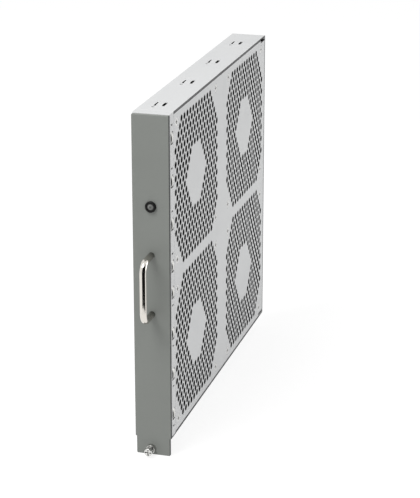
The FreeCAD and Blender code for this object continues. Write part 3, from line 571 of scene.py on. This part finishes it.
def growSleeves():
    grid = Growth("holeShadeSleeves", sleeves)
    rows = sleeves["rowsInward"] + sleeves["rowsOutward"] + 1
    columns = 2 * sleeves["columnsEachSide"] + 1
    spotsPerFan = rows * columns
    fans = 4  # two along, two high
    index = grid.put("GeometryNodeInputIndex")
    fan = (index / spotsPerFan).floor()
    inField = index % spotsPerFan
    row = (inField / columns).floor() - grid.read("rowsInward")
    column = inField % columns - grid.read("columnsEachSide")
    pitch = grid.read("holePitch")
    across = column * pitch + pitch * ((row % 2) - 0.5) / 2  # odd rows half a pitch on
    outward = 2 * (fan / 2).floor() - 1  # lower fans are the upper ones turned over
    side = grid.read("outerFace")
    x = side - side / abs(side) * (grid.read("plateWall") / 2)
    y = grid.read("firstFanY") + (fan % 2) * grid.read("fanPitchY") + across
    z = grid.read("middleZ") + outward * (grid.read("fanPitchZ") / 2 + row * grid.read("rowPitch"))
    middle = abs(row + (grid.read("rowsInward") - grid.read("rowsOutward")) / 2)
    pastCorner = abs(across) + middle * pitch / 2 > grid.read("cornerReach") * pitch
    slope = abs(across) + abs(row) * pitch / 2
    overHub = (abs(row) < grid.read("hubRows") + 0.5) * (slope < grid.read("hubReach") * pitch)
    spots = grid.put("GeometryNodePoints", None,
                     {"Count": fans * spotsPerFan, "Position": grid.vector(x, y, z)})
    spots = grid.put("GeometryNodeDeleteGeometry", {"domain": "POINT"},
                     {"Geometry": spots, "Selection": pastCorner.most(overHub)})
    radius = grid.read("holeDiameter") / 2 - grid.read("sleevePlay") - grid.read("sleeveWall") / 2
    ring = grid.put("GeometryNodeCurvePrimitiveCircle", None,
                    {"Resolution": grid.read("sides"), "Radius": radius})
    section = grid.put("GeometryNodeCurvePrimitiveQuadrilateral", None,
                       {"Width": grid.read("sleeveWall"),
                        "Height": grid.read("plateWall") - 2 * grid.read("faceSink")})
    sleeve = grid.put("GeometryNodeCurveToMesh", None, {"Curve": ring, "Profile Curve": section})
    lined = grid.put("GeometryNodeInstanceOnPoints", None,
                     {"Points": spots, "Instance": sleeve, "Rotation": (0, math.pi / 2, 0)})
    grid.finish(lined, holeShadeFinish(), False)
    return grid


sleeveGrowth = growSleeves()
rightSleeves = sleeveGrowth.piece("holeShadeRight")
settle(rightSleeves, "housing", "light_sheet")
leftSleeves = sleeveGrowth.piece("holeShadeLeft", outerFace=-sleeves["outerFace"])
settle(leftSleeves, "housing", "light_sheet")


# bow handle swept round its bent path
bow = {"bend": 0.008, "bendSteps": 14, "sides": 40}


def growHandle():
    low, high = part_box("pull_handle")
    radius = (high[0] - low[0]) / 2
    handle = Growth("bowHandle", {**bow, "radius": radius, "face": high[1], "bar": low[1] + radius,
                                  "lowLeg": low[2] + radius, "highLeg": high[2] - radius})
    index = handle.put("GeometryNodeInputIndex")
    face = handle.read("face")
    lowLeg = handle.read("lowLeg")
    onBar = (index > 0.5) * (index < 2.5)  # the middle two of the four corners
    onHighLeg = index > 1.5
    y = face + (handle.read("bar") - face) * onBar
    z = lowLeg + (handle.read("highLeg") - lowLeg) * onHighLeg
    corners = handle.put("GeometryNodeMeshLine", None, {"Count": 4})
    corners = handle.put("GeometryNodeSetPosition", None,
                         {"Geometry": corners, "Position": handle.vector(0.0, y, z)})
    path = handle.put("GeometryNodeMeshToCurve", None, {"Mesh": corners})
    path = handle.put("GeometryNodeFilletCurve", {"mode": "POLY"},
                      {"Curve": path, "Count": handle.read("bendSteps"), "Radius": handle.read("bend")})
    section = handle.put("GeometryNodeCurvePrimitiveCircle", None,
                         {"Resolution": handle.read("sides"), "Radius": handle.read("radius")})
    bar = handle.put("GeometryNodeCurveToMesh", None,
                     {"Curve": path, "Profile Curve": section, "Fill Caps": True})
    handle.finish(bar, finishes["handle_chrome"], True)
    return handle.piece("bowHandle")


settle(growHandle(), "housing", "handle_chrome", "pull_handle")


# coil of round wire behind the screw's head, with flat end turns; the share left when the screw is pushed in is
# worked out, but nothing shortens it
coil = {"wire": 0.0004, "turns": 5.0, "flatTurns": 0.7, "stepsPerTurn": 32, "wireSides": 10,
        "endPlay": 0.00002}


def growCoil(low, high):
    spring = Growth("captiveCoil", {**coil, "radius": (high[0] - low[0] - coil["wire"]) / 2,
                                    "axisX": (low[0] + high[0]) / 2, "axisZ": (low[2] + high[2]) / 2,
                                    "foot": high[1], "length": high[1] - low[1]})
    radius = spring.read("radius")
    turns = spring.read("turns")
    flat = spring.read("flatTurns")
    lift = spring.read("wire") / 2 + spring.read("endPlay")
    rise = spring.read("length") - 2 * lift
    pitch = rise / (turns - 2 * flat)
    path = spring.put("GeometryNodeCurveSpiral", None,
                      {"Resolution": spring.read("stepsPerTurn"), "Rotations": turns,
                       "Start Radius": radius, "End Radius": radius, "Height": pitch * turns})
    spot = spring.put("GeometryNodeInputPosition")
    x, y, z = [spring.part(spot, axis) for axis in "XYZ"]
    seated = (z - pitch * flat).most(0.0).least(rise)
    path = spring.put("GeometryNodeSetPosition", None,
                      {"Geometry": path, "Position": spring.vector(x, y, seated)})
    section = spring.put("GeometryNodeCurvePrimitiveCircle", None,
                         {"Resolution": spring.read("wireSides"), "Radius": spring.read("wire") / 2})
    wound = spring.put("GeometryNodeCurveToMesh", None,
                       {"Curve": path, "Profile Curve": section, "Fill Caps": True})
    place = spring.vector(spring.read("axisX"), spring.read("foot") - lift, spring.read("axisZ"))
    wound = spring.put("GeometryNodeTransform", None,
                       {"Geometry": wound, "Translation": place, "Rotation": (math.pi / 2, 0, 0)})
    spring.finish(wound, finishes["spring_steel"], True)
    return spring.piece("captiveCoil")


def fitCoil():
    low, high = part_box("captive_spring")
    piece = growCoil(low, high)
    settle(piece, "housing", "spring_steel", "captive_spring")
    push = next(joint for joint in frame["joints"] if joint["name"] == "captive_push")
    length = high[1] - low[1]
    keep = (length - push["range_m"][1]) / length
    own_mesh(piece)


fitCoil()


# camera, lights and floor

cameraLook = {"azimuth": 15.81, "elevation": 18.97, "distance": 1.444, "target": (0.0047, 0.0, 0.1045),
              "focalPixels": 1787.0, "frameHeight": 498.0, "sensor": 36.0}


def placeCamera(look):
    data = bpy.data.cameras.new("camera")
    data.sensor_width = look["sensor"]
    data.lens = look["focalPixels"] * look["sensor"] / look["frameHeight"]
    camera = bpy.data.objects.new("camera", data)
    scene.collection.objects.link(camera)
    turn = math.radians(look["azimuth"])
    lift = math.radians(look["elevation"])
    back = Vector((math.sin(turn) * math.cos(lift), -math.cos(turn) * math.cos(lift), math.sin(lift)))
    camera.location = Vector(look["target"]) + back * look["distance"]
    camera.rotation_euler = (-back).to_track_quat("-Z", "Y").to_euler()
    scene.camera = camera


lamps = {
    "key": {"place": (-0.45, -0.80, 1.45), "aim": (0, 0, 0.15), "size": 0.9, "watts": 15.0},
    "side": {"place": (1.1, 0.6, 0.10), "aim": (0, 0.08, 0.05), "size": 0.8, "watts": 4.0},
}


def placeLamp(name, look):
    data = bpy.data.lights.new(name, "AREA")
    data.shape = "DISK"
    data.size = look["size"]
    data.energy = look["watts"]
    lamp = bpy.data.objects.new(name, data)
    scene.collection.objects.link(lamp)
    lamp.location = look["place"]
    aim = Vector(look["aim"]) - Vector(look["place"])
    lamp.rotation_euler = aim.to_track_quat("-Z", "Y").to_euler()


def seenDirectly(tree):  # 1 for camera, glossy and transmission rays
    path = tree.tree.nodes.new("ShaderNodeLightPath")
    camera, glossy, through = [Value(tree.tree, path.outputs[kind])
                               for kind in ("Is Camera Ray", "Is Glossy Ray", "Is Transmission Ray")]
    return camera.most(glossy).most(through)


worldLook = {"ambient": 0.60}


def setWorld(look):
    world = bpy.data.worlds.new("studio")
    scene.world = world
    world.use_nodes = True
    tree = Tree(world.node_tree)
    strength = look["ambient"] + (1 - look["ambient"]) * seenDirectly(tree)
    back = tree.put("ShaderNodeBackground", None, {"Color": (1, 1, 1, 1), "Strength": strength})
    tree.put("ShaderNodeOutputWorld", None, {"Surface": back})


def layStage(name, corners, faces):
    material = bpy.data.materials.new(name)
    material.use_nodes = True
    mesh = bpy.data.meshes.new(name)
    mesh.from_pydata(corners, [], faces)
    mesh.materials.append(material)
    sheet = bpy.data.objects.new(name, mesh)
    scene.collection.objects.link(sheet)
    return sheet


def matt(tree, tone):
    return tree.put("ShaderNodeBsdfDiffuse", None, {"Color": (tone, tone, tone, 1)})


floorLook = {"size": 12.0, "tone": 0.82, "seenTone": 0.26, "lift": 0.82}


def layFloor(look):  # lights the object as pale card, and shows as white with a faint shadow
    half = look["size"] / 2
    low = cadBox[0].z
    corners = [(-half, -half, low), (half, -half, low), (half, half, low), (-half, half, low)]
    sheet = layStage("paleFloor", corners, [(0, 1, 2, 3)])
    tree = Tree(sheet.active_material.node_tree)
    white = tree.put("ShaderNodeEmission", None, {"Strength": look["lift"]})
    seen = tree.put("ShaderNodeAddShader", None, {0: matt(tree, look["seenTone"]), 1: white})
    links = {0: seenDirectly(tree), 1: matt(tree, look["tone"]), 2: seen}
    surface = tree.put("ShaderNodeMixShader", None, links)
    tree.put("ShaderNodeOutputMaterial", None, {"Surface": surface})


cardLook = {"near": 0.30, "far": 0.70, "height": 0.9, "from": -14.0, "to": 95.0, "steps": 8,
            "tone": 0.01, "floorGap": 0.001}


def layCard(look):  # dark card round the front, on the floor and then upright, seen in polished metal
    foot = Vector((0, cadBox[0].y, cadBox[0].z + look["floorGap"]))
    rise = Vector((0, 0, look["height"]))
    corners, faces = [], []
    for step in range(look["steps"] + 1):
        turn = math.radians(look["from"] + (look["to"] - look["from"]) * step / look["steps"])
        ahead = Vector((math.sin(turn), -math.cos(turn), 0))
        far = foot + ahead * look["far"]
        here = len(corners)
        corners += [foot + ahead * look["near"], far, far + rise]
        if step:
            faces += [(here - 3, here - 2, here + 1, here), (here - 2, here - 1, here + 2, here + 1)]
    card = layStage("darkCard", corners, faces)
    tree = Tree(card.active_material.node_tree)
    tree.put("ShaderNodeOutputMaterial", None, {"Surface": matt(tree, look["tone"])})
    card.visible_camera = False
    card.visible_diffuse = False
    card.visible_shadow = False


placeCamera(cameraLook)
for lampName, lampLook in lamps.items():
    placeLamp(lampName, lampLook)
setWorld(worldLook)
layFloor(floorLook)
layCard(cardLook)
scene.view_settings.view_transform = "Standard"
print("stage set")
